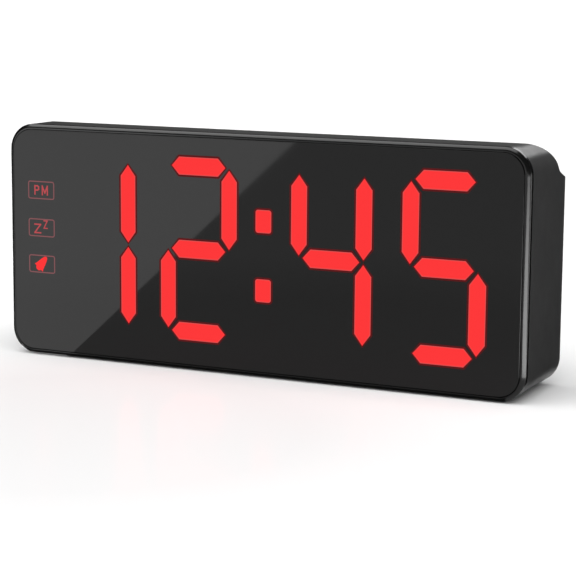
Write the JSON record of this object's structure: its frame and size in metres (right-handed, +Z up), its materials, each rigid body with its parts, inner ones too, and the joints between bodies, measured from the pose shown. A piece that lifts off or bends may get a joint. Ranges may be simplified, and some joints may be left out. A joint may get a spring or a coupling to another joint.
{
  "type": "digital desk alarm clock",
  "caption": "Low wide desk alarm clock: glossy black display window with large red segment digits, slim bezel, deep rear case with curved back edge, snooze bar and rear controls.",
  "frame": {"origin": "middle of the underside: halfway across the width and depth, on the plane of the feet's undersides", "axes": "+X to the viewer's right along the width, -Y out of the display towards the viewer, +Z up"},
  "size_m": [0.21, 0.0412, 0.0897],
  "materials": {
    "bezel_plastic": "satin black moulded plastic, smooth rounded front edge",
    "lens_acrylic": "polished smoked acrylic that reads black, with the lit digits showing through",
    "housing_plastic": "black moulded plastic with a very fine matt grain",
    "mask_plastic": "matt black light mask",
    "diffuser": "translucent red diffuser",
    "circuit_board": "green solder mask",
    "chip_black": "black moulded component body",
    "steel": "bright plated steel",
    "capacitor_sleeve": "dark shrink sleeve",
    "jack_plastic": "black socket body",
    "speaker_black": "black paper cone and steel basket",
    "button_plastic": "dark grey soft-touch plastic",
    "screw_steel": "zinc plated steel",
    "foot_rubber": "matt black rubber"
  },
  "bodies": {
    "case": {"front_bezel": "bezel_plastic", "front_lens": "lens_acrylic", "rear_housing": "housing_plastic", "light_mask": "mask_plastic", "digit_1_diffuser": "diffuser", "digit_2_diffuser": "diffuser", "digit_3_diffuser": "diffuser", "digit_4_diffuser": "diffuser", "colon_diffuser": "diffuser", "icon_diffuser": "diffuser", "display_board": "circuit_board", "main_board": "circuit_board", "board_header": "chip_black", "clock_chip": "chip_black", "crystal_can": "steel", "smoothing_capacitor": "capacitor_sleeve", "power_jack": "jack_plastic", "usb_port_1": "steel", "usb_port_2": "steel", "loudspeaker": "speaker_black", "cell_holder": "chip_black", "coin_cell": "steel", "snooze_switch": "chip_black", "slide_switch": "steel", "dimmer_pot": "chip_black", "time_switch": "chip_black", "alarm_switch": "chip_black", "up_switch": "chip_black", "down_switch": "chip_black", "case_screw_1": "screw_steel", "display_screw_1": "screw_steel", "foot_1": "foot_rubber", "case_screw_2": "screw_steel", "display_screw_2": "screw_steel", "foot_2": "foot_rubber", "case_screw_3": "screw_steel", "display_screw_3": "screw_steel", "foot_3": "foot_rubber", "case_screw_4": "screw_steel", "display_screw_4": "screw_steel", "foot_4": "foot_rubber", "board_screw_1": "screw_steel", "board_screw_2": "screw_steel"},
    "snooze_bar": {"snooze_bar": "button_plastic"},
    "battery_door": {"battery_door": "housing_plastic"},
    "alarm_knob": {"alarm_knob": "button_plastic"},
    "dimmer_dial": {"dimmer_dial": "button_plastic"},
    "time_button": {"time_button": "button_plastic"},
    "alarm_button": {"alarm_button": "button_plastic"},
    "up_button": {"up_button": "button_plastic"},
    "down_button": {"down_button": "button_plastic"}
  },
  "joints": [
    {"name": "snooze_press", "type": "slide", "parent": "case", "child": "snooze_bar", "axis": [0, 0, -1], "range_m": [0, 0.001], "stiffness_N_per_m": 600, "springref_m": -0.0008},
    {"name": "time_press", "type": "slide", "parent": "case", "child": "time_button", "axis": [0, -1, 0], "range_m": [0, 0.001], "stiffness_N_per_m": 500, "springref_m": -0.0006},
    {"name": "alarm_press", "type": "slide", "parent": "case", "child": "alarm_button", "axis": [0, -1, 0], "range_m": [0, 0.001], "stiffness_N_per_m": 500, "springref_m": -0.0006},
    {"name": "up_press", "type": "slide", "parent": "case", "child": "up_button", "axis": [0, -1, 0], "range_m": [0, 0.001], "stiffness_N_per_m": 500, "springref_m": -0.0006},
    {"name": "down_press", "type": "slide", "parent": "case", "child": "down_button", "axis": [0, -1, 0], "range_m": [0, 0.001], "stiffness_N_per_m": 500, "springref_m": -0.0006},
    {"name": "alarm_slide", "type": "slide", "parent": "case", "child": "alarm_knob", "axis": [1, 0, 0], "range_m": [0, 0.004]},
    {"name": "dimmer_turn", "type": "hinge", "parent": "case", "child": "dimmer_dial", "pos_m": [0.062, 0.01265, 0.0624], "axis": [0, 0, 1], "range_deg": [-135, 135]},
    {"name": "door_pull", "type": "slide", "parent": "case", "child": "battery_door", "axis": [0, 1, 0], "range_m": [0, 0.012]}
  ]
}
